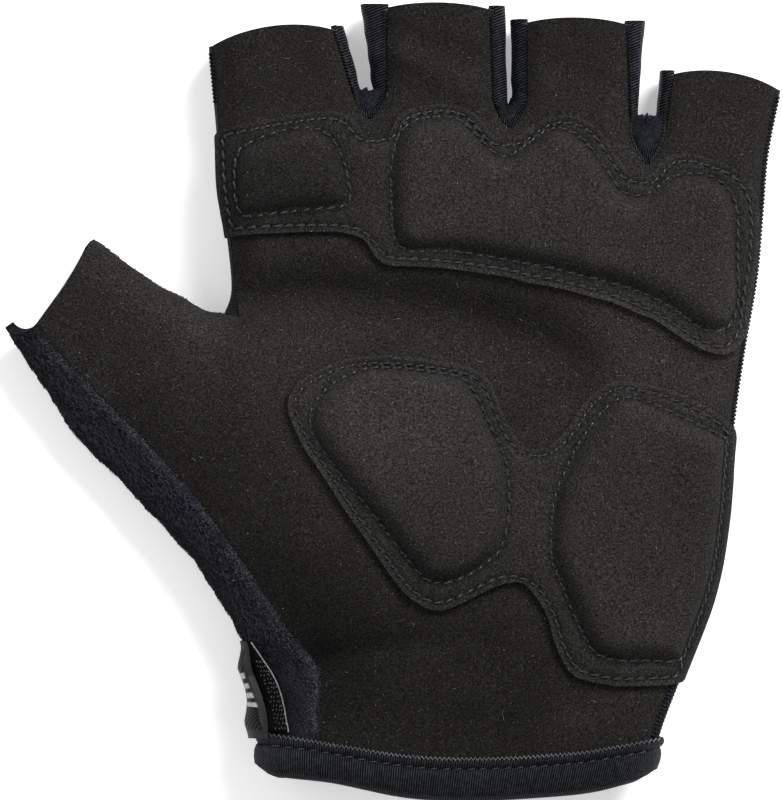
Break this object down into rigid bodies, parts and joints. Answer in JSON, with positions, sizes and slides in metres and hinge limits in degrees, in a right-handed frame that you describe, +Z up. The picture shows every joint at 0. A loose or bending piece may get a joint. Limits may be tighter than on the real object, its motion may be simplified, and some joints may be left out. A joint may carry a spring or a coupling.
{
  "type": "fingerless cycling glove",
  "caption": "Fingerless left glove lying palm up: suede palm with padded patches, knit back, terry thumb, bound wrist and strap closure.",
  "frame": {"origin": "on the ground under the middle of the glove's box", "axes": "+X across the palm from the thumb to the little finger, +Y from the wrist to the fingers, +Z up out of the palm"},
  "size_m": [0.1474, 0.1512, 0.022],
  "materials": {
    "palm_suede": "matt black synthetic suede with a fine nap",
    "patch_suede": "matt charcoal synthetic suede, padded and stitched",
    "back_knit": "fine stretch knit, near black",
    "thumb_terry": "looped terry cloth, near black with a blue cast",
    "elastic_tape": "ribbed elastic tape with a slight sheen",
    "tab_rubber": "moulded grey-black rubber with fine diagonal ribs",
    "hook_tape": "black nylon hook tape"
  },
  "bodies": {
    "root": {"palm_panel": "palm_suede", "back_panel": "back_knit", "thumb_terry": "thumb_terry", "gusset_index_middle": "elastic_tape", "gusset_middle_ring": "elastic_tape", "gusset_ring_little": "elastic_tape", "knuckle_patch": "patch_suede", "heel_patch": "patch_suede", "index_pad": "patch_suede", "knuckle_pad": "patch_suede", "thenar_pad": "patch_suede", "heel_pad": "patch_suede", "wrist_binding": "elastic_tape", "closure_tab": "tab_rubber", "hook_strip": "hook_tape"}
  },
  "joints": []
}
